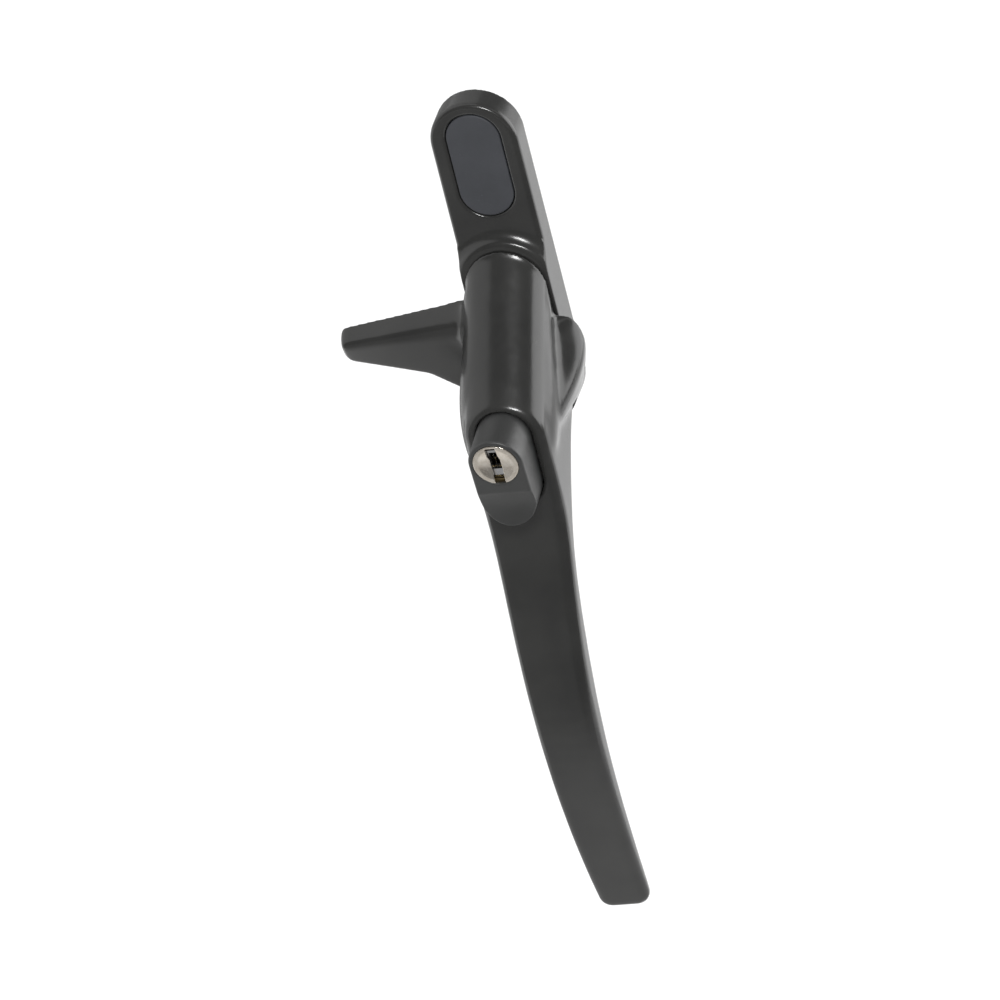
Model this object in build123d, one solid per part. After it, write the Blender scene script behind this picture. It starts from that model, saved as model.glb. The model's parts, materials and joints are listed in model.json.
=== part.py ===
from build123d import *
import math
import os

# Left-hand cockspur window handle with a key-locking push button.
# Frame: origin on the wall face of the base plate at the pivot axis, +Z up the plate,
# -Y out of the wall, +X to the right seen from the room.
# "Height" means distance out from the wall, along -Y. "Drop" means distance below the pivot.

# ---- driving dimensions, mm ----
PLATE_WIDTH = 20.2
PLATE_TOP = 46.1                # plate end above the pivot
PLATE_BOTTOM = 36.5             # plate end below the pivot
POD_HEIGHT = 7.0                # plate height above the collar
POD_EDGE_R = 1.0
SEAT_HEIGHT = 9.3               # plate height under the lever
COLLAR_RIM_R = 10.5
COLLAR_BEVEL_R = 11.4            # shallow bevel inside the flare
COLLAR_BEVEL_HEIGHT = 8.9
COLLAR_FLARE_R = 14.0
COLLAR_SAG = 0.4

FIXING_Z = 30.0                 # both fixing holes, above and below the pivot
FIXING_R = 2.4
SCREW_HEAD_R = 4.6
SCREW_SEAT_HEIGHT = 3.0

COVER_Z = 30.3
COVER_WIDTH = 12.5
COVER_LENGTH = 26.0
COVER_THICKNESS = 1.5
COVER_TOP = 6.9
COVER_GAP = 0.12
COVER_EDGE_R = 0.3
RECESS_EDGE_R = 0.5             # rounding of the plate's edge round the cover
COVER_PEG_R = 1.2
COVER_PEG_SPACING = 19.0
COVER_PEG_LENGTH = 2.2
COVER_PEG_ROOT = 0.5            # the pegs start this far below the cover's face

HUB_BASE = 9.46                 # height of the lever's back face over the plate
HUB_R = 9.5
FOOT_R = 9.6                    # thin round foot of the hub
FOOT_TOP = 10.0
FOOT_EDGE_R = 0.25
BARREL_LEAN = 0.955             # drop of the hub's round front for each mm of height
SHOULDER_HEIGHT = 35.8          # flat front round the lock button
SHOULDER_DROP = 15.6            # top of that flat
KNEE_DROP = 42.0                # its lower end, where the grip starts
GRIP_LENGTH = 147.6             # drop of the grip's end
TIP_HEIGHT = 34.8
TIP_BACK_HEIGHT = 30.3
TIP_SPARE = 1.0                 # the side view runs on this far, and the front view trims it
TIP_HALF_WIDTH = 5.8
TIP_CORNER_R = 3.0
FRONT_EDGE_R = 2.0
BACK_EDGE_R = 2.2
# the barrel's bulge, as rings of (height, half width, half length, top above the leaning axis, shift left)
BELLY_RINGS = (
    (10.0, 9.3, 10.0, 9.0, 0.0), (14.0, 10.3, 12.5, 9.4, 0.3), (21.0, 10.9, 14.5, 9.4, 0.3),
    (28.0, 11.1, 14.5, 9.3, 0.5), (33.0, 10.0, 13.0, 9.0, 0.3), (35.4, 8.9, 11.0, 8.0, 0.0)
)

SPUR_REACH = 40.4               # the nose's end, to the left of the pivot
SPUR_HEIGHT = 14.6
SPUR_KEEL_HEIGHT = 11.8         # the nose's lower edge, below its leaning front
SPUR_GROOVE_R = 2.2             # relief groove between the nose and the barrel
SPUR_GROOVE_X = -12.5
SPUR_GROOVE_HEIGHT = 15.6
SPUR_GROOVE_DROPS = (10.8, 17.0)
POCKET_WIDTH = 13.0             # hollow in the back of the plate, above the pivot
POCKET_TOP = 23.0
POCKET_BOTTOM = 10.0
POCKET_DEPTH = 3.6

SPINDLE_R = 3.6
SPINDLE_TOP = 13.6
SPINDLE_END = 0.5
BUSH_R = 5.0
BUSH_FLANGE_R = 5.8
BUSH_FLANGE_BASE = 8.5
WASHER_WELL_R = 7.2
WASHER_WELL_DEPTH = 3.4
WASHER_R = 6.6
CLIP_BASE = 1.0
CLIP_THICKNESS = 0.7
CLIP_GROOVE_R = 2.9
CLIP_R = 5.2
CLIP_MOUTH = 4.6
THRUST_THICKNESS = 0.6
CONE_THICKNESS = 0.5
CONE_INNER_R = 4.1
RUNNING_FIT = 0.05
TOUCH_GAP = 0.05                # between faces that bear on each other across a joint
END_CHAMFER = 0.3               # on the ends of the spindle and the locking pin
OVERRUN = 12.0                  # how far a cut runs past the face it opens

STOP_TRACK_R = 7.6              # radius of the arc slot that limits the swing
STOP_LUG_R = 0.8
STOP_GAP = 0.3
STOP_DEPTH = 1.3
STOP_START = 180.0              # lug's place on the track when the handle hangs down
SWING = 90.0

LOCK_DROP = 24.0                # key plug centre
LOCK_HEIGHT = 45.5
LOCK_TILT = 6.0                 # the lock axis leans this far down, degrees
BUTTON_R = 6.3
BUTTON_SPAN = 11.1              # between the centres of the button's round ends
BUTTON_DEPTH = 14.8
BUTTON_TRAVEL = 3.5
BUTTON_EDGE_R = 0.6
SCOOP_R = 12.0                  # shallow finger scoop below the key plug
SCOOP_DEPTH = 1.1
SCOOP_DROP = 12.8
SLIDE_FIT = 0.15
SLEEVE_R = 5.6
SLEEVE_LENGTH = 24.0
LIP = 1.0                       # metal of the button in front of the sleeve
PLUG_FACE_R = 5.2
PLUG_R = 4.4
PLUG_HEAD = 0.95
PLUG_LENGTH = 19.5
TAIL_R = 2.2
TAIL_END = 21.9
KEYWAY_WIDTH = 2.4
KEYWAY_TOP = 4.5
KEYWAY_BOTTOM = 5.3
KEYWAY_DEPTH = 17.0
KEYWAY_STEP = 0.35              # the slot's upper half is this far to the left
DISH_R = 4.1
DISH_DEPTH = 0.5
WAFER_PITCH = 2.6
WAFER_START = 1.05              # front face of the first wafer behind the plug face
WAFER_THICKNESS = 0.8
WAFER_WIDTH = 5.0
WAFER_HEIGHT = 6.8
WAFER_WINDOW = (2.3, 4.5)       # what the key passes through, across and along the keyway
WAFER_CODE = (0.55, -0.5, 0.3, -0.4, 0.2)       # how far up each wafer its window sits
WAFER_NOTCH = (1.1, 1.6)        # room for its spring
WAFER_SPRING_R = 0.3
WAFER_SPRING_PITCH = 0.35
WAFER_SPRING_LENGTH = 1.3
WAFER_WIRE_R = 0.1
WAFER_WIRE_SIDES = 8
CAM_DISC_R = 3.4
CAM_LOBE = (2.6, 2.8)
CAM_LOBE_DROP = 3.0
PLUG_CLIP_R = 3.6
PLUG_CLIP_THICKNESS = 0.6
PLUG_CLIP_MOUTH = 2.4
CAM_THICKNESS = 1.2
LOCK_PIN_R = 2.0
LOCK_PIN_END = 35.6
PIN_DISC_R = 4.9
PIN_DISC = 1.8
LOCK_BORE_DEPTH = 31.0          # floor of the lever's bore behind the plug face
LOCK_HOLE_R = 2.5
LOCK_HOLE_FLOOR = 4.5
SPRING_WIRE_R = 0.35
SPRING_R = 3.9
STOP_PIN_R = 0.75
STOP_PIN_DROP = 13.0
STOP_PIN_DEPTH = 12.95
STOP_PIN_START = -9.2
STOP_PIN_END = 8.2

FRONT = Plane(origin=(0, 0, 0), x_dir=(1, 0, 0), z_dir=(0, -1, 0))


def at_height(height):
    """Plane parallel to the wall; its own x is X and its own y is Z."""
    return FRONT.offset(height)


def side_point(drop, height):
    """A place on Plane.YZ given by its drop and height."""
    return (-height, -drop)


def lock_frame():
    """Frame of the lock: z out along its axis, y up, origin on the key plug's face."""
    tilt = math.radians(LOCK_TILT)
    outward = (0, -math.cos(tilt), -math.sin(tilt))
    return Plane(origin=(0, -LOCK_HEIGHT, -LOCK_DROP), x_dir=(1, 0, 0), z_dir=outward).location


LOCK = lock_frame()


def upright_slot(width, top, bottom):
    """Face with round ends, from its top and bottom along its own y."""
    return Pos(0, (top + bottom) / 2) * Rot(0, 0, 90) * SlotOverall(top - bottom, width)


def tube(outer, inner, low, high):
    """Ring about z between two levels."""
    return Pos(0, 0, low) * extrude(Circle(outer) - Circle(inner), high - low)


def rod(radius, low, high):
    """Round bar about z between two levels."""
    return Pos(0, 0, low) * extrude(Circle(radius), high - low)


def wall_axis(shape, x=0, z=0):
    """Stands a shape made about z on the wall, pointing out of it."""
    return FRONT.location * Pos(x, z, 0) * shape


# ---- base plate, cover and pivot ----

def collar():
    """Flared round seat under the lever."""
    floor = Polyline((0, 0), (COLLAR_FLARE_R, 0), (COLLAR_FLARE_R, POD_HEIGHT))
    bevel_foot = (COLLAR_BEVEL_R, COLLAR_BEVEL_HEIGHT)
    flare = SagittaArc((COLLAR_FLARE_R, POD_HEIGHT), bevel_foot, COLLAR_SAG)
    close = Polyline(bevel_foot, (COLLAR_RIM_R, SEAT_HEIGHT), (0, SEAT_HEIGHT), (0, 0))
    return wall_axis(revolve(Plane.XZ * make_face(floor + flare + close), Axis.Z))


def plate_blank():
    outline = at_height(0) * upright_slot(PLATE_WIDTH, PLATE_TOP, -PLATE_BOTTOM)
    prism = extrude(outline, SEAT_HEIGHT)
    pod = extrude(outline, POD_HEIGHT)
    pod = fillet(pod.faces().sort_by(Axis.Y)[0].edges(), POD_EDGE_R)
    lower = extrude(at_height(0) * Pos(0, -PLATE_BOTTOM) * Rectangle(2 * PLATE_WIDTH, 2 * PLATE_BOTTOM),
                    SEAT_HEIGHT)
    return pod + ((collar() + lower) & prism)


def fixing_hole(z, head_top):
    hole = rod(FIXING_R, -1, SEAT_HEIGHT)
    head = rod(SCREW_HEAD_R, SCREW_SEAT_HEIGHT, head_top)
    return wall_axis(hole + head, z=z)


def cover_recess():
    width = COVER_WIDTH + 2 * COVER_GAP
    half = COVER_LENGTH / 2 + COVER_GAP
    outline = at_height(COVER_TOP - COVER_THICKNESS) * upright_slot(width, COVER_Z + half, COVER_Z - half)
    return extrude(outline, COVER_THICKNESS + 1)


def cover_pegs(radius, length):
    return [
        wall_axis(rod(radius, COVER_TOP - COVER_THICKNESS - length, COVER_TOP - COVER_PEG_ROOT), z=COVER_Z + side)
        for side in (-COVER_PEG_SPACING / 2, COVER_PEG_SPACING / 2)
    ]


def stop_slot():
    """Arc slot for the lever's stop lug."""
    track = CenterArc((0, 0), STOP_TRACK_R, STOP_START, SWING)
    outline = SlotArc(track, 2 * (STOP_LUG_R + STOP_GAP))
    return extrude(at_height(SEAT_HEIGHT - STOP_DEPTH) * outline, 2 * STOP_DEPTH)


def bush_hole():
    barrel = rod(BUSH_R, 0, SEAT_HEIGHT + 1)
    flange = rod(BUSH_FLANGE_R, BUSH_FLANGE_BASE, SEAT_HEIGHT + 1)
    well = rod(WASHER_WELL_R, -1, WASHER_WELL_DEPTH)
    return wall_axis(barrel + flange + well)


def lock_hole():
    """Blind hole that the locking pin drops into, in line with the lock."""
    reach = (LOCK_HEIGHT - LOCK_HOLE_FLOOR) / math.cos(math.radians(LOCK_TILT))
    return LOCK * rod(LOCK_HOLE_R, -reach, OVERRUN - reach)


def back_pocket():
    """Hollow in the back of the pod that saves metal."""
    return extrude(at_height(0) * upright_slot(POCKET_WIDTH, POCKET_TOP, POCKET_BOTTOM), POCKET_DEPTH)


def recess_rim(plate):
    """Edges of the cover recess in the plate's front face."""
    front = plate.edges().filter_by_position(Axis.Y, -POD_HEIGHT - 0.01, -POD_HEIGHT + 0.01)
    width = COVER_WIDTH / 2 + 2 * COVER_GAP
    return front.filter_by(lambda e: abs(e.center().X) < width and abs((e @ 0).X) < width and (e @ 0).Z > 10
                           and abs((e @ 0.5).Z - COVER_Z) < COVER_LENGTH / 2 + 2 * COVER_GAP)


def base_plate():
    plate = plate_blank() - cover_recess()
    plate = fillet(recess_rim(plate), RECESS_EDGE_R) - cover_pegs(COVER_PEG_R, COVER_PEG_LENGTH)
    plate -= fixing_hole(FIXING_Z, COVER_TOP)
    plate -= fixing_hole(-FIXING_Z, SEAT_HEIGHT + 1)
    return plate - bush_hole() - stop_slot() - lock_hole() - back_pocket()


def screw_cover():
    half = COVER_LENGTH / 2
    outline = at_height(COVER_TOP - COVER_THICKNESS) * upright_slot(COVER_WIDTH, COVER_Z + half,
                                                                    COVER_Z - half)
    cap = extrude(outline, COVER_THICKNESS)
    cap = fillet(cap.faces().sort_by(Axis.Y)[0].edges(), COVER_EDGE_R)
    return cap + cover_pegs(COVER_PEG_R, COVER_PEG_LENGTH)


def pivot_bush():
    bore = SPINDLE_R + RUNNING_FIT
    barrel = tube(BUSH_R, bore, WASHER_WELL_DEPTH, HUB_BASE - TOUCH_GAP)
    flange = tube(BUSH_FLANGE_R, bore, BUSH_FLANGE_BASE, HUB_BASE - TOUCH_GAP)
    return wall_axis(barrel + flange)


def pivot_spindle():
    bar = rod(SPINDLE_R, SPINDLE_END, SPINDLE_TOP)
    groove = tube(SPINDLE_R + 1, CLIP_GROOVE_R, CLIP_BASE, CLIP_BASE + CLIP_THICKNESS)
    bar = chamfer(bar.edges().sort_by(Axis.Z)[0], END_CHAMFER)
    return wall_axis(bar - groove)


def retaining_clip():
    """Open ring that snaps into the spindle's groove."""
    ring = tube(CLIP_R, CLIP_GROOVE_R, CLIP_BASE, CLIP_BASE + CLIP_THICKNESS)
    mouth = Pos(0, -CLIP_R, CLIP_BASE) * Box(CLIP_MOUTH, 2 * CLIP_R, 4 * CLIP_THICKNESS)
    return wall_axis(ring - mouth)


def thrust_washer():
    base = CLIP_BASE + CLIP_THICKNESS
    return wall_axis(tube(WASHER_R, SPINDLE_R + RUNNING_FIT, base, base + THRUST_THICKNESS))


def spring_washer():
    """Coned friction washer between the thrust washer and the plate."""
    low = CLIP_BASE + CLIP_THICKNESS + THRUST_THICKNESS + TOUCH_GAP
    high = WASHER_WELL_DEPTH
    section = Polyline(
        (WASHER_R, low), (WASHER_R, low + CONE_THICKNESS),
        (CONE_INNER_R, high), (CONE_INNER_R, high - CONE_THICKNESS), close=True
    )
    return wall_axis(revolve(Plane.XZ * make_face(section), Axis.Z))


# ---- lever ----

def side_profile():
    """Side view of the lever: a 45 degree hub, a flat shoulder and a bowed grip."""
    hub_top = side_point(-HUB_R, HUB_BASE)
    shoulder = side_point(SHOULDER_DROP, SHOULDER_HEIGHT)
    knee = side_point(KNEE_DROP, SHOULDER_HEIGHT)
    tip_front = side_point(GRIP_LENGTH + TIP_SPARE, TIP_HEIGHT)
    tip_back = side_point(GRIP_LENGTH + TIP_SPARE, TIP_BACK_HEIGHT)
    heel = side_point(29.4, HUB_BASE)
    front = Spline(
        knee, side_point(60, 39.2), side_point(86, 44.2), side_point(113, 43.4), tip_front,
        tangents=((0, -1), (0.33, -1)), tangent_scalars=(1, 1)
    )
    back = Spline(
        tip_back, side_point(127, 34.9), side_point(101, 37.5), side_point(72, 35.2),
        side_point(51.3, 29.9), side_point(38.4, 21.2), heel
    )
    edges = Line(heel, hub_top) + Line(hub_top, shoulder) + Line(shoulder, knee)
    return Plane.YZ * make_face(edges + front + Line(tip_front, tip_back) + back)


def front_outline():
    """Front view of the lever: straight hub sides that draw in to the tip."""
    side = Spline(
        (HUB_R, -36), (8.75, -54), (7.6, -80), (6.95, -104), (TIP_HALF_WIDTH, -GRIP_LENGTH),
        tangents=((0, -1), (-0.04, -1))
    )
    end = Line((TIP_HALF_WIDTH, -GRIP_LENGTH), (0, -GRIP_LENGTH))
    half = Line((HUB_R, 0), (HUB_R, -36)) + side + end
    crown = ThreePointArc((-HUB_R, 0), (0, HUB_R), (HUB_R, 0))
    outline = make_face(half + mirror(half, Plane.YZ) + crown)
    corners = outline.vertices().group_by(Axis.Y)[0]
    return fillet([v for v in corners if abs(v.X) > 1], TIP_CORNER_R)


def grip_edges(body):
    """The long edges down the grip, front ones first."""
    return body.edges().filter_by(lambda e: e.length > 90).sort_by(Axis.Y)


def barrel_sweep():
    """Round-fronted sleeve that leans down as it leaves the plate."""
    length = 200.0
    outline = upright_slot(2 * HUB_R, HUB_R, -length)
    lean = Vector(0, -1, -BARREL_LEAN)
    rise = 45.0 * lean.length
    return extrude(at_height(HUB_BASE) * outline, rise, dir=lean.normalized())


def lever_blank():
    slab = extrude(Pos(-2 * HUB_R, 0, 0) * side_profile(), 4 * HUB_R)
    plan = extrude(at_height(HUB_BASE) * front_outline(), 60)
    body = slab & plan & barrel_sweep()
    flat_front = body.edges().filter_by_position(Axis.Y, -SHOULDER_HEIGHT - 0.1, -SHOULDER_HEIGHT + 0.1)
    shoulder_arc = flat_front.sort_by(Axis.Z)[-1:]
    body = fillet(grip_edges(body)[:2] + shoulder_arc, FRONT_EDGE_R)
    return fillet(grip_edges(body)[-2:], BACK_EDGE_R)


def foot():
    """Thin round flange at the hub's base."""
    disc = rod(FOOT_R, HUB_BASE, FOOT_TOP)
    return wall_axis(fillet(disc.edges().sort_by(Axis.Z)[-1], FOOT_EDGE_R))


def belly():
    """Bulge of the barrel between its foot and its shoulder, fuller on the nose's side."""
    rings = []
    for height, half_width, half_length, top, shift in BELLY_RINGS:
        centre = Pos(-shift, top - half_length - BARREL_LEAN * (height - HUB_BASE))
        rings.append(at_height(height) * centre * Ellipse(half_width, half_length))
    return loft(rings)


def spur():
    """Nose that hooks over the frame: a sloping upper face and a front that leans back below."""
    root = -6.0
    reach = -SPUR_REACH
    back = Polyline(
        (root, -0.8), (reach + 0.6, -6.4), (reach, -7.3), (reach, -12.4), (reach + 1.0, -14.0),
        (-22.0, -19.1), (-16.6, -22.7), (root, -30.0), close=True
    )
    keel = Polyline(
        (root, -2.6), (reach + 0.9, -7.2), (reach + 0.1, -8.1), (reach + 0.1, -13.0), (reach + 1.1, -14.6),
        (-21.9, -19.5), (-17.0, -22.9), (root, -30.0), close=True
    )
    front = Polyline(
        (root, -4.9), (reach + 1.4, -8.2), (reach + 0.8, -8.7), (reach + 0.8, -9.3), (reach + 1.4, -9.7),
        (-21.0, -8.6), (-16.0, -8.3), (root, -8.0), close=True
    )
    heights = (HUB_BASE, SPUR_KEEL_HEIGHT, SPUR_HEIGHT)
    faces = [at_height(h) * make_face(outline) for h, outline in zip(heights, (back, keel, front))]
    return loft(faces, ruled=True)


def spur_groove():
    """Short groove down the nose's face, beside the barrel."""
    top, bottom = SPUR_GROOVE_DROPS
    ball = Sphere(SPUR_GROOVE_R)
    groove = rod(SPUR_GROOVE_R, -bottom, -top) + Pos(0, 0, -top) * ball + Pos(0, 0, -bottom) * ball
    return Pos(SPUR_GROOVE_X, -SPUR_GROOVE_HEIGHT, 0) * groove


def side_fairing():
    """Leaf-shaped lobe on the hub's right side: its flat face leans out from the barrel."""
    inner = 6.0
    sections = {
        HUB_BASE: [(9.6, -7.8), (12.6, -8.2), (14.9, -13.4), (14.1, -18.8), (10.8, -27.0), (inner, -29.5)],
        14.0: [(9.6, -9.4), (12.6, -11.9), (15.0, -15.0), (14.2, -20.2), (10.8, -27.4), (inner, -29.5)],
        20.0: [(9.4, -15.2), (11.5, -16.8), (13.3, -19.2), (12.4, -23.4), (10.2, -27.4), (inner, -29.4)],
        26.0: [(9.3, -20.9), (10.3, -21.5), (10.9, -22.7), (10.5, -25.0), (9.4, -27.6), (inner, -29.2)],
        29.5: [(8.4, -24.8), (8.9, -25.1), (9.1, -25.7), (9.0, -26.7), (8.5, -27.6), (inner, -28.8)]
    }
    faces = []
    for height, points in sections.items():
        first = (inner, points[0][1])
        edge = Spline(first, *points)
        faces.append(at_height(height) * make_face(edge + Line(points[-1], first)))
    return loft(faces)


def button_outline(grow=0.0):
    top = BUTTON_R + grow
    bottom = -BUTTON_SPAN - BUTTON_R - grow
    return upright_slot(2 * (BUTTON_R + grow), top, bottom)


def button_cavity():
    """Oblong pocket, round bore and pin hole in the lever, all along the lock axis."""
    floor = BUTTON_DEPTH + BUTTON_TRAVEL + 0.3
    pocket = Pos(0, 0, -floor) * extrude(button_outline(SLIDE_FIT), floor + OVERRUN)
    bore = rod(SLEEVE_R + SLIDE_FIT, -LOCK_BORE_DEPTH, 0)
    pin_hole = rod(LOCK_PIN_R + RUNNING_FIT, -LOCK_BORE_DEPTH - OVERRUN, 0)
    return LOCK * (pocket + bore + pin_hole)


def cross_bar(start):
    """Bar across the lock, from one X to the blind end of its hole."""
    bar = rod(STOP_PIN_R, start, STOP_PIN_END)
    return LOCK * Pos(0, -STOP_PIN_DROP, -STOP_PIN_DEPTH) * Rot(0, 90, 0) * bar


def button_stop_pin():
    return cross_bar(STOP_PIN_START)


def stop_lug():
    angle = math.radians(STOP_START)
    lug = rod(STOP_LUG_R, HUB_BASE - STOP_DEPTH, HUB_BASE + 1)
    return wall_axis(lug, STOP_TRACK_R * math.cos(angle), STOP_TRACK_R * math.sin(angle))


def lever():
    body = lever_blank() + belly() + foot() + spur() + side_fairing() + stop_lug()
    body -= button_cavity()
    body -= spur_groove()
    body -= wall_axis(rod(SPINDLE_R, 0, SPINDLE_TOP))
    return body - cross_bar(-HUB_R - 1)


# ---- lock button, in the lock's own frame ----

def lock_button():
    body = Pos(0, 0, -BUTTON_DEPTH) * extrude(button_outline(), BUTTON_DEPTH)
    body = fillet(body.faces().sort_by(Axis.Z)[-1].edges(), BUTTON_EDGE_R)
    scoop = Pos(0, -SCOOP_DROP, SCOOP_R - SCOOP_DEPTH) * Rot(0, 90, 0) * Cylinder(SCOOP_R, 4 * BUTTON_R)
    face_bore = rod(PLUG_FACE_R + RUNNING_FIT, -LIP, 1)
    sleeve_bore = rod(SLEEVE_R, -BUTTON_DEPTH, -LIP)
    slot_low = -STOP_PIN_DEPTH - STOP_PIN_R - SLIDE_FIT
    slot_high = -STOP_PIN_DEPTH + STOP_PIN_R + BUTTON_TRAVEL + SLIDE_FIT
    slot = Pos(0, -STOP_PIN_DROP, (slot_low + slot_high) / 2) * Box(
        4 * BUTTON_R, 2 * (STOP_PIN_R + SLIDE_FIT), slot_high - slot_low
    )
    return LOCK * (body - scoop - face_bore - sleeve_bore - slot)


def lock_sleeve():
    shell = rod(SLEEVE_R, -SLEEVE_LENGTH, -LIP)
    bore = rod(PLUG_R + RUNNING_FIT, -PLUG_LENGTH, 0)
    tail_room = rod(PIN_DISC_R, -SLEEVE_LENGTH, -PLUG_LENGTH)
    return LOCK * (shell - bore - tail_room)


def wafer_centres():
    return [-WAFER_START - WAFER_THICKNESS / 2 - WAFER_PITCH * i for i in range(len(WAFER_CODE))]


def keyway():
    """Upright slot through the plug's face, stepped to one side in its upper half."""
    step = KEYWAY_STEP
    half = KEYWAY_WIDTH / 2
    outline = Polyline(
        (-half - step, KEYWAY_TOP), (half - step, KEYWAY_TOP), (half - step, 2.2), (half, 1.0),
        (half, -KEYWAY_BOTTOM), (-half, -KEYWAY_BOTTOM), (-half, 1.4), (-half - step, 2.4), close=True
    )
    return extrude(Pos(0, 0, -KEYWAY_DEPTH) * make_face(outline), KEYWAY_DEPTH + 1)


def key_plug():
    head = rod(PLUG_FACE_R, -PLUG_HEAD, 0)
    body = rod(PLUG_R, -PLUG_LENGTH, -PLUG_HEAD)
    tail = rod(TAIL_R, -TAIL_END, -PLUG_LENGTH)
    dish_ball = (DISH_R ** 2 + DISH_DEPTH ** 2) / (2 * DISH_DEPTH)
    dish = Pos(0, 0, dish_ball - DISH_DEPTH) * Sphere(dish_ball)
    plug = head + body + tail - dish - keyway()
    for centre in wafer_centres():
        plug -= Pos(0, 0, centre) * Box(WAFER_WIDTH + 2 * TOUCH_GAP, 4 * PLUG_R, WAFER_THICKNESS + 2 * TOUCH_GAP)
    return LOCK * plug


def wafers():
    """Plates that the key lifts; each has a window at its own level and a notch for its spring."""
    plate = Rectangle(WAFER_WIDTH, WAFER_HEIGHT)
    notch_wide, notch_high = WAFER_NOTCH
    notch = Pos((WAFER_WIDTH - notch_wide) / 2, (notch_high - WAFER_HEIGHT) / 2) * Rectangle(*WAFER_NOTCH)
    solids = []
    for centre, level in zip(wafer_centres(), WAFER_CODE):
        outline = plate - notch - Pos(0, level) * Rectangle(*WAFER_WINDOW)
        solids.append(LOCK * Pos(0, 0, centre) * extrude(outline, WAFER_THICKNESS / 2, both=True))
    return solids


def wafer_springs():
    """Short coils that press the wafers out."""
    coil = Helix(pitch=WAFER_SPRING_PITCH, height=WAFER_SPRING_LENGTH, radius=WAFER_SPRING_R)
    wire = RegularPolygon(WAFER_WIRE_R, WAFER_WIRE_SIDES)
    section = Plane(origin=coil @ 0, z_dir=coil % 0) * wire
    spring = Rot(-90, 0, 0) * sweep(section, path=coil)
    place = Pos((WAFER_WIDTH - WAFER_NOTCH[0]) / 2, 2 * TOUCH_GAP + WAFER_WIRE_R / 2 - WAFER_HEIGHT / 2)
    return [LOCK * Pos(0, 0, centre) * place * spring for centre in wafer_centres()]


def plug_cam():
    """Tail piece keyed to the plug, with a lobe that works the catch."""
    low = -PLUG_LENGTH - CAM_THICKNESS - TOUCH_GAP
    disc = tube(CAM_DISC_R, TAIL_R, low, low + CAM_THICKNESS)
    lobe = Pos(0, CAM_LOBE_DROP, low + CAM_THICKNESS / 2) * Box(*CAM_LOBE, CAM_THICKNESS)
    return LOCK * (disc + lobe - rod(TAIL_R, -TAIL_END, -PLUG_LENGTH))


def plug_clip():
    high = -PLUG_LENGTH - CAM_THICKNESS - 2 * TOUCH_GAP
    ring = tube(PLUG_CLIP_R, TAIL_R, high - PLUG_CLIP_THICKNESS, high)
    mouth = Pos(0, -PLUG_CLIP_R, high) * Box(PLUG_CLIP_MOUTH, 2 * PLUG_CLIP_R, 4 * PLUG_CLIP_THICKNESS)
    return LOCK * (ring - mouth)


def locking_pin():
    disc = rod(PIN_DISC_R, -SLEEVE_LENGTH, -SLEEVE_LENGTH + PIN_DISC)
    pin = rod(LOCK_PIN_R, -LOCK_PIN_END, -SLEEVE_LENGTH)
    pin = chamfer(pin.edges().sort_by(Axis.Z)[0], END_CHAMFER)
    return LOCK * (disc + pin)


def button_spring():
    """Coil that pushes the button back out."""
    length = LOCK_BORE_DEPTH - SLEEVE_LENGTH - 2 * SPRING_WIRE_R - 2 * TOUCH_GAP
    coil = Helix(pitch=length / 4, height=length, radius=SPRING_R)
    section = Plane(origin=coil @ 0, z_dir=coil % 0) * Circle(SPRING_WIRE_R)
    base = -LOCK_BORE_DEPTH + SPRING_WIRE_R + TOUCH_GAP
    return LOCK * Pos(0, 0, base) * sweep(section, path=coil)


PARTS = {
    "base_plate": base_plate,
    "screw_cover": screw_cover,
    "pivot_bush": pivot_bush,
    "pivot_spindle": pivot_spindle,
    "retaining_clip": retaining_clip,
    "thrust_washer": thrust_washer,
    "spring_washer": spring_washer,
    "lever": lever,
    "button_stop_pin": button_stop_pin,
    "lock_button": lock_button,
    "lock_sleeve": lock_sleeve,
    "key_plug": key_plug,
    "wafers": wafers,
    "wafer_springs": wafer_springs,
    "plug_cam": plug_cam,
    "plug_clip": plug_clip,
    "locking_pin": locking_pin,
    "button_spring": button_spring,
}


def solids_of(shape):
    """All solids of a shape or a list of shapes, as one compound."""
    shapes = shape if isinstance(shape, list) else [shape]
    return Compound(children=[solid for item in shapes for solid in item.solids()])


if __name__ == "__main__":
    os.makedirs("parts", exist_ok=True)
    for node, make in PARTS.items():
        export_step(solids_of(make()), f"parts/{node}.step")
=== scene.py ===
import json
import math
import bmesh
import bpy
import numpy as np
from mathutils import Matrix, Vector


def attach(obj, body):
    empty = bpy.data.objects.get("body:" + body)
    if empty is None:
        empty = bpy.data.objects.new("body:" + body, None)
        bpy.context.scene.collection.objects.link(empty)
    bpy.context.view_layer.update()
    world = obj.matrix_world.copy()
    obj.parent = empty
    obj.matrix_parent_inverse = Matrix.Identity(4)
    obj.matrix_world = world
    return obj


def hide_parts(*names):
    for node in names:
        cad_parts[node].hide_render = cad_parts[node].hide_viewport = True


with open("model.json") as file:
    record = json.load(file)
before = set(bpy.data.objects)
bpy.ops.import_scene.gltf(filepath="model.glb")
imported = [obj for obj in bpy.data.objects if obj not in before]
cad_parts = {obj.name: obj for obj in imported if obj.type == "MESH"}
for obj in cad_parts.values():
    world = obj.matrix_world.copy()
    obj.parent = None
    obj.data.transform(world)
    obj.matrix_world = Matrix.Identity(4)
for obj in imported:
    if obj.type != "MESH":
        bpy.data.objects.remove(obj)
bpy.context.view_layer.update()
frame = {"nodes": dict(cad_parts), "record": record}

NODES = frame["nodes"]
MM = 0.001

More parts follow.
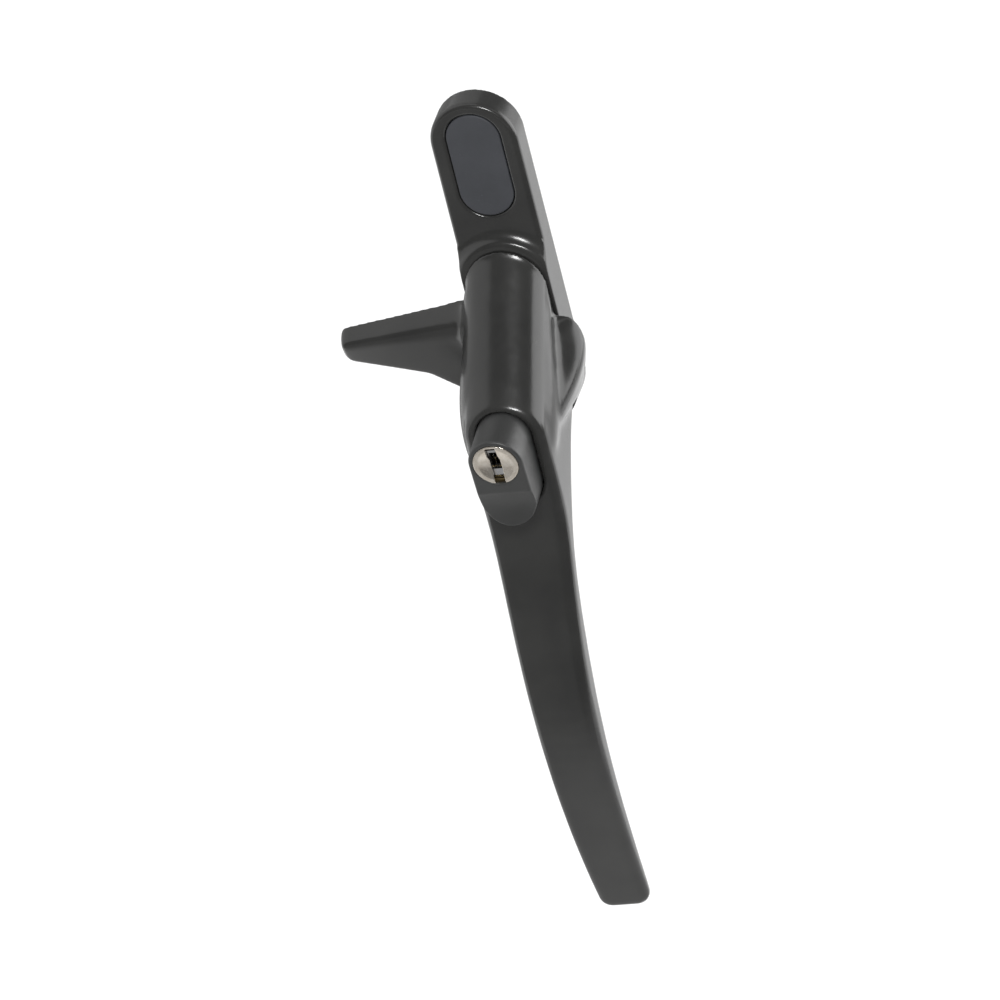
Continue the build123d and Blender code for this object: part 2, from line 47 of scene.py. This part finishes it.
# the key turns about the lock's axis, at the middle of the plug's face
KEY_TURN = next(j for j in frame["record"]["behaviour"]["joints"] if j["name"] == "key_turn")
LOCK_AXIS = -Vector(KEY_TURN["axis"])
PLUG_FACE = LOCK_AXIS.dot(Vector(KEY_TURN["pos_m"])) / MM

# ---- the handle's own places, in mm ----
PAINTED_SHADE_DEPTH = 0.65             # painted shade: the plug is painted near black inside from here, behind its face
FOOT_R = 10.2                   # just clear of the hub's foot
FOOT_TOP = 10.5                 # just in front of it, out from the wall
POCKET_HALF_WIDTH = 6.8         # the button's pocket, with its walls
POCKET_MIDDLE = -29.0
POCKET_HALF_LENGTH = 14.5
POCKET_BACK = 12.0              # nothing of the pocket is nearer to the wall
NOSE_START = -13.0              # the nose is to the left of this
ROOT_LEFT = -20.0               # corner between the nose and the barrel
ROOT_RIGHT = -8.0
ROOT_BOTTOM = -14.0


# ---- shader helpers ----

class Shader:
    """A principled material whose nodes are added by short calls."""

    def __init__(self, name, **sockets):
        self.material = bpy.data.materials.new(name)
        self.material.use_nodes = True
        self.tree = self.material.node_tree
        self.surface = self.tree.nodes["Principled BSDF"]
        for socket, value in sockets.items():
            self.surface.inputs[socket.replace("_", " ")].default_value = value

    def node(self, kind, **settings):
        made = self.tree.nodes.new(kind)
        for key, value in settings.items():
            setattr(made, key, value)
        return made

    def link(self, source, target):
        self.tree.links.new(source, target)

    def place(self):
        return self.node("ShaderNodeTexCoord").outputs["Object"]

    def noise(self, size_mm, detail=2.0, roughness=0.5, stretch=(1, 1, 1)):
        """Noise whose features are about size_mm across."""
        mapping = self.node("ShaderNodeMapping")
        mapping.inputs["Scale"].default_value = [1.0 / (size_mm * MM) * s for s in stretch]
        self.link(self.place(), mapping.inputs["Vector"])
        texture = self.node("ShaderNodeTexNoise")
        texture.inputs["Scale"].default_value = 1.0
        texture.inputs["Detail"].default_value = detail
        texture.inputs["Roughness"].default_value = roughness
        self.link(mapping.outputs["Vector"], texture.inputs["Vector"])
        return texture.outputs["Fac"]

    def ramp(self, source, low, high, start=0.35, end=0.65):
        """Colour ramp from low to high between two levels of the source."""
        ramp = self.node("ShaderNodeValToRGB")
        ramp.color_ramp.elements[0].position = start
        ramp.color_ramp.elements[1].position = end
        ramp.color_ramp.elements[0].color = (*low, 1)
        ramp.color_ramp.elements[1].color = (*high, 1)
        self.link(source, ramp.inputs["Fac"])
        return ramp.outputs["Color"]

    def span(self, source, low, high, start=0.3, end=0.7):
        """Number from low to high between two levels of the source."""
        span = self.node("ShaderNodeMapRange")
        span.inputs["From Min"].default_value = start
        span.inputs["From Max"].default_value = end
        span.inputs["To Min"].default_value = low
        span.inputs["To Max"].default_value = high
        self.link(source, span.inputs["Value"])
        return span.outputs["Result"]

    def mix(self, factor, first, second):
        """Colour between two colours or sources."""
        mix = self.node("ShaderNodeMix", data_type="RGBA")
        self.link(factor, mix.inputs["Factor"])
        for socket, value in ((mix.inputs[6], first), (mix.inputs[7], second)):
            if isinstance(value, tuple):
                socket.default_value = (*value, 1)
            else:
                self.link(value, socket)
        return mix.outputs[2]

    def bumps(self, *layers):
        """Bump layers, each (height source, distance in mm, strength)."""
        normal = None
        for source, distance, strength in layers:
            bump = self.node("ShaderNodeBump")
            bump.inputs["Distance"].default_value = distance * MM
            bump.inputs["Strength"].default_value = strength
            self.link(source, bump.inputs["Height"])
            if normal is not None:
                self.link(normal, bump.inputs["Normal"])
            normal = bump.outputs["Normal"]
        self.link(normal, self.surface.inputs["Normal"])

    def colour(self, source):
        self.link(source, self.surface.inputs["Base Color"])

    def rough(self, source):
        self.link(source, self.surface.inputs["Roughness"])


def powder_coat(name, deep, light, rough_low, rough_high, peel):
    """Dark powder coat: orange peel, fine grain, faint cloudiness and a painted highlight on thin sharp
    edges.
    """
    s = Shader(name, IOR=1.6)
    cloud = s.ramp(s.noise(14, detail=3), deep, light)
    edges = s.node("ShaderNodeNewGeometry").outputs["Pointiness"]
    # painted highlight: the colour is painted lighter on sharp outer edges, where glints fall
    edge_highlight = s.span(edges, 0.0, 0.3, 0.54, 0.62)
    s.colour(s.mix(edge_highlight, cloud, tuple(2.0 * c for c in light)))
    s.rough(s.span(s.noise(2.6, detail=4), rough_low, rough_high))
    s.bumps((s.noise(1.4, detail=2), 0.03, peel), (s.noise(0.22, detail=3), 0.006, peel))
    return s.material


def moulded_plastic(name, deep, light, rough):
    """Matt plastic with a spark-eroded grain, faint flow clouding and a few pale specks."""
    s = Shader(name, IOR=1.46)
    cloud = s.ramp(s.noise(9, detail=3), deep, light)
    specks = s.span(s.noise(0.5, detail=1), 0.0, 0.5, 0.74, 0.80)
    s.colour(s.mix(specks, cloud, tuple(2.5 * c for c in light)))
    s.rough(s.span(s.noise(1.5), rough - 0.06, rough + 0.06))
    s.bumps((s.noise(0.3, detail=3, roughness=0.7), 0.012, 0.4))
    return s.material


def machined(name, deep, light, rough, shaded_below=None):
    """Bright metal with fine turned or drawn lines and slight staining.

    Given a depth as its last argument, it is painted near black, as shade, nearer to the wall
    than that, in mm along the lock's axis.
    """
    s = Shader(name, Metallic=1.0)
    stain_and_painted_shade = s.ramp(s.noise(1.6, detail=4), deep, light)
    # painted shade: behind that depth the colour fades to near black, standing in for the shade inside the
    # keyway
    if shaded_below is not None:
        along = s.node("ShaderNodeVectorMath", operation="DOT_PRODUCT")
        along.inputs[1].default_value = LOCK_AXIS
        s.link(s.place(), along.inputs[0])
        edge = shaded_below * MM
        unshaded = s.span(along.outputs["Value"], 0.0, 1.0, edge - 0.2 * MM, edge)
        stain_and_painted_shade = s.mix(unshaded, (0.035, 0.030, 0.026), stain_and_painted_shade)
    s.colour(stain_and_painted_shade)
    s.rough(s.span(s.noise(0.5, detail=3), rough - 0.05, rough + 0.08))
    s.bumps((s.noise(0.12, detail=2, stretch=(0.15, 1, 1)), 0.003, 0.3))
    return s.material


# ---- stage, light and camera ----

def direction(azimuth, elevation):
    """Unit vector; azimuth 0 is straight in front and positive is to the right, in degrees."""
    a, e = math.radians(azimuth), math.radians(elevation)
    return Vector((math.sin(a) * math.cos(e), -math.cos(a) * math.cos(e), math.sin(e)))


def pale_floor(level):
    size = 6.0
    mesh = bpy.data.meshes.new("floor")
    mesh.from_pydata([(-size, -size, level), (size, -size, level), (size, size, level), (-size, size, level)],
                     [], [(0, 1, 2, 3)])
    floor = bpy.data.objects.new("floor", mesh)
    bpy.context.scene.collection.objects.link(floor)
    s = Shader("floor_paper")
    s.colour(s.ramp(s.noise(120, detail=3), (0.90, 0.90, 0.90), (0.93, 0.93, 0.93)))
    s.surface.inputs["Roughness"].default_value = 0.9
    mesh.materials.append(s.material)


def light_tent(strength):
    world = bpy.data.worlds.new("tent")
    world.use_nodes = True
    world.node_tree.nodes["Background"].inputs["Color"].default_value = (1, 1, 1, 1)
    world.node_tree.nodes["Background"].inputs["Strength"].default_value = strength
    bpy.context.scene.world = world


def grey_flag(name, centre_azimuth, half_width, low, high, radius, shade):
    """Curved studio card, from one elevation to another: only reflections see its shade of grey."""
    steps = 24
    shape = bmesh.new()
    rows = []
    for i in range(steps + 1):
        turn = centre_azimuth + half_width * (2 * i / steps - 1)
        rises = [low + (high - low) * j / steps for j in range(steps + 1)]
        rows.append([shape.verts.new(radius * direction(turn, rise)) for rise in rises])
    for left, right in zip(rows, rows[1:]):
        for j in range(steps):
            shape.faces.new((left[j], right[j], right[j + 1], left[j + 1]))
    mesh = bpy.data.meshes.new(name)
    shape.to_mesh(mesh)
    shape.free()
    s = Shader(name, Base_Color=(0, 0, 0, 1), Roughness=1.0, Specular_IOR_Level=0.0)
    s.surface.inputs["Emission Color"].default_value = (1, 1, 1, 1)
    s.surface.inputs["Emission Strength"].default_value = shade
    mesh.materials.append(s.material)
    flag = bpy.data.objects.new(name, mesh)
    bpy.context.scene.collection.objects.link(flag)
    flag.visible_camera = False
    flag.visible_diffuse = False
    flag.visible_shadow = False
    flag.visible_transmission = False


def softbox(name, azimuth, elevation, distance, width, height, power):
    """Area light in a given direction from the handle, aimed at it."""
    light = bpy.data.lights.new(name, "AREA")
    light.shape = "RECTANGLE"
    light.size = width
    light.size_y = height
    light.energy = power
    panel = bpy.data.objects.new(name, light)
    bpy.context.scene.collection.objects.link(panel)
    way = direction(azimuth, elevation)
    target = Vector((0, 0, -0.04))
    panel.location = target + distance * way
    panel.rotation_euler = (-distance * way).to_track_quat("-Z", "Y").to_euler()


def camera(azimuth, elevation, roll, look_at, distance, view_width):
    """Long lens from the given angles, in degrees; roll leans the object's top to the left."""
    back = direction(azimuth, elevation)
    level_right = direction(azimuth + 90, 0)
    level_up = back.cross(level_right)
    r = math.radians(roll)
    up = math.cos(r) * level_up + math.sin(r) * level_right
    right = up.cross(back)
    data = bpy.data.cameras.new("camera")
    data.sensor_width = 36.0
    data.lens = 36.0 * distance / view_width
    data.clip_start = 0.05
    data.clip_end = 50.0
    made = bpy.data.objects.new("camera", data)
    bpy.context.scene.collection.objects.link(made)
    place = Vector(look_at) + distance * back
    turn = Matrix((right, up, back)).transposed().to_4x4()
    made.matrix_world = Matrix.Translation(place) @ turn
    bpy.context.scene.camera = made


# each card: middle azimuth, half width, lowest and highest elevation, distance in metres, shade of grey
CARDS = {
    "top_flag": (21, 79, -8, 86, 2.4, 0.18),
    "front_flag": (45, 58, -37, -7, 0.5, 0.18),
    "left_front_flag": (-36, 24, -37, -7, 0.5, 0.35),
    "left_card": (-95, 39, -7, 80, 2.3, 0.80),
    "left_back_flag": (-152, 22, -35, 12, 0.5, 0.33),
    "back_left_flag": (-150, 30, 10, 75, 2.3, 0.50),
    "back_right_flag": (150, 31, 8, 75, 2.3, 0.24),
    "right_card": (110, 32, -18, 28, 0.5, 3.0),
    "side_card": (160, 22, -46, -12, 0.45, 1.4),
    "floor_flag": (10, 62, -47, -36, 0.45, 0.50),
    "under_flag": (0, 150, -86, -46, 0.35, 0.70),
}

camera(azimuth=20.0, elevation=29.4, roll=14.5, look_at=(-0.0072, -0.0285, -0.0432), distance=6.0,
       view_width=0.2222)
light_tent(strength=1.15)
pale_floor(level=-0.36)
for card, settings in CARDS.items():
    grey_flag(card, *settings)
softbox("top_box", azimuth=19, elevation=41, distance=1.1, width=0.30, height=0.18, power=6.0)
bpy.context.scene.view_settings.view_transform = "Standard"


# ---- pieces ----

COAT = powder_coat("coated_zinc", (0.014, 0.014, 0.0135), (0.019, 0.019, 0.018), 0.20, 0.25, 0.3)
BUTTON_COAT = powder_coat("button_zinc", (0.020, 0.0205, 0.020), (0.026, 0.0265, 0.026), 0.40, 0.48, 0.6)
COVER = moulded_plastic("cover_plastic", (0.030, 0.032, 0.037), (0.035, 0.037, 0.043), 0.5)
NYLON = moulded_plastic("nylon", (0.62, 0.60, 0.54), (0.72, 0.70, 0.64), 0.45)
STEEL = machined("steel", (0.50, 0.50, 0.50), (0.60, 0.60, 0.61), 0.28)
SPRING_STEEL = machined("spring_steel", (0.36, 0.36, 0.37), (0.46, 0.46, 0.47), 0.34)
# brass, painted darker than bare brass as shade: the sleeve is seen only deep inside the keyway
BRASS = machined("brass", (0.30, 0.23, 0.12), (0.40, 0.31, 0.16), 0.36)
# the nickel plug is painted near black inside, as shade, behind its face
NICKEL = machined("nickel", (0.76, 0.69, 0.60), (0.88, 0.82, 0.73), 0.20, PLUG_FACE - PAINTED_SHADE_DEPTH)

SLOT_MATERIALS = {
    "coated_zinc": COAT,
    "button_zinc": BUTTON_COAT,
    "cover_plastic": COVER,
    "nylon": NYLON,
    "steel": STEEL,
    "spring_steel": SPRING_STEEL,
    "brass": BRASS,
    "nickel": NICKEL,
}


def paint_cad_nodes():
    for part in frame["record"]["subparts"]:
        slots = NODES[part["node"]].data.materials
        slots.clear()
        slots.append(SLOT_MATERIALS[part["material_slot"]])


def remeshed(node, voxel_mm):
    """Even quad mesh of a node's own shape, as a new object with no parent."""
    piece = NODES[node].copy()
    piece.data = NODES[node].data.copy()
    piece.name = node + "_piece"
    piece.parent = None
    for key in list(piece.keys()):
        del piece[key]
    bpy.context.scene.collection.objects.link(piece)
    remesh = piece.modifiers.new("remesh", "REMESH")
    remesh.mode = "VOXEL"
    remesh.voxel_size = voxel_mm * MM
    bpy.context.view_layer.update()
    graph = bpy.context.evaluated_depsgraph_get()
    mesh = bpy.data.meshes.new_from_object(piece.evaluated_get(graph))
    piece.modifiers.clear()
    piece.data = mesh
    return piece


def everywhere(places):
    return 1.0


def clear_of_fits(places):
    """Leaves out the hub's foot, which runs on its seat, and the pocket that the button slides in."""
    x, y, z = places.T
    foot = (np.hypot(x, z) < FOOT_R * MM) & (y > -FOOT_TOP * MM)
    inside = (np.abs(x) < POCKET_HALF_WIDTH * MM) & (y < -POCKET_BACK * MM)
    pocket = inside & (np.abs(z - POCKET_MIDDLE * MM) < POCKET_HALF_LENGTH * MM)
    return ~(foot | pocket)


def nose(places):
    """The lever's nose, fading out towards its root."""
    return np.clip((NOSE_START * MM - places[:, 0]) / (3 * MM), 0, 1)


def nose_root(places):
    """Upper part of the corner between the nose and the barrel, fading out on both sides."""
    x, y, z = places.T
    from_left = np.clip((x - ROOT_LEFT * MM) / (4 * MM), 0, 1)
    from_right = np.clip((ROOT_RIGHT * MM - x) / (2 * MM), 0, 1)
    from_below = np.clip((z - ROOT_BOTTOM * MM) / (4 * MM), 0, 1)
    return from_left * from_right * from_below * (y < -FOOT_TOP * MM)


def soften(mesh, rounds, outer, inner, zone):
    """Moves each vertex in a zone towards its neighbours: by outer on bulges, by inner in hollows."""
    count = len(mesh.vertices)
    places = np.empty(3 * count)
    mesh.vertices.foreach_get("co", places)
    places = places.reshape(-1, 3)
    ends = np.empty(2 * len(mesh.edges), dtype=np.int32)
    mesh.edges.foreach_get("vertices", ends)
    first, second = ends.reshape(-1, 2).T
    joined = np.bincount(first, minlength=count) + np.bincount(second, minlength=count)
    normals = np.empty(3 * count)
    share = zone(places)
    for step in range(rounds):
        if step % 5 == 0:
            mesh.vertices.foreach_set("co", places.ravel())
            mesh.update()
            mesh.vertex_normals.foreach_get("vector", normals)
        total = np.empty_like(places)
        for axis in range(3):
            along = places[:, axis]
            total[:, axis] = np.bincount(first, along[second], count)
            total[:, axis] += np.bincount(second, along[first], count)
        pull = total / joined[:, None] - places
        hollow = (pull * normals.reshape(-1, 3)).sum(axis=1) > 0
        places += (share * np.where(hollow, inner, outer))[:, None] * pull
    mesh.vertices.foreach_set("co", places.ravel())
    mesh.update()


def casting(node, body, slot, voxel_mm, *passes):
    """Softened mesh that stands for a plain CAD node; each pass is (rounds, outer, inner, zone)."""
    piece = remeshed(node, voxel_mm)
    for settings in passes:
        soften(piece.data, *settings)
    for polygon in piece.data.polygons:
        polygon.use_smooth = True
    piece.data.materials.clear()
    piece.data.materials.append(SLOT_MATERIALS[slot])
    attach(piece, body)
    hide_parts(node)


CORNER_FILL = (6, 0.02, 0.5, everywhere)

paint_cad_nodes()
casting(
    "lever", "lever", "coated_zinc", 0.35,
    (6, 0.5, 0.5, everywhere), (45, 0.02, 0.5, clear_of_fits),
    (12, 0.5, 0.5, nose), (150, 0.0, 0.5, nose_root)
)
casting("base_plate", "root", "coated_zinc", 0.25, (5, 0.5, 0.5, everywhere), CORNER_FILL)
casting("screw_cover", "root", "cover_plastic", 0.18, (4, 0.5, 0.5, everywhere))
casting("lock_button", "lock_button", "button_zinc", 0.18, (4, 0.5, 0.5, everywhere), CORNER_FILL)
casting("key_plug", "key_plug", "nickel", 0.10, (3, 0.5, 0.5, everywhere))
